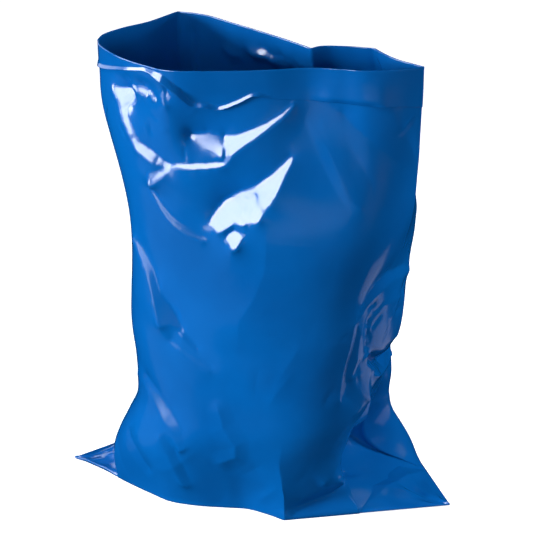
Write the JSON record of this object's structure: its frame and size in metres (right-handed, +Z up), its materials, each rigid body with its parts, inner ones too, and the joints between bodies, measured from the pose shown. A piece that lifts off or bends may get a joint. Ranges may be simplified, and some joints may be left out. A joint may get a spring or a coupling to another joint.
{
  "type": "fruit picking sack",
  "caption": "Tall open film sack standing on its boxed-out base, with a turned-down cuff round the mouth and flat corner ears that fold up.",
  "frame": {"origin": "on the floor, at the middle of the object's box", "axes": "+X from the left ear to the right ear, -Y the front of the sack, +Z up through the mouth"},
  "size_m": [0.464, 0.2852, 0.5301],
  "materials": {
    "film": "gloss",
    "weld": "satin"
  },
  "bodies": {
    "sack": {"front_film": "film", "back_film": "film", "front_cuff": "film", "back_cuff": "film", "front_base_film": "film", "back_base_film": "film", "bottom_weld": "weld"},
    "left_corner": {"left_ear": "film", "left_ear_weld": "weld"},
    "right_corner": {"right_ear": "film", "right_ear_weld": "weld"}
  },
  "joints": [
    {"name": "left_ear_crease", "type": "hinge", "parent": "sack", "child": "left_corner", "pos_m": [-0.18393, -0.02227, 0.002], "axis": [-0.3398, 0.9405, 0], "range_deg": [0, 80]},
    {"name": "right_ear_crease", "type": "hinge", "parent": "sack", "child": "right_corner", "pos_m": [0.16347, -0.01574, 0.002], "axis": [-0.3492, -0.9371, 0], "range_deg": [0, 80]}
  ]
}
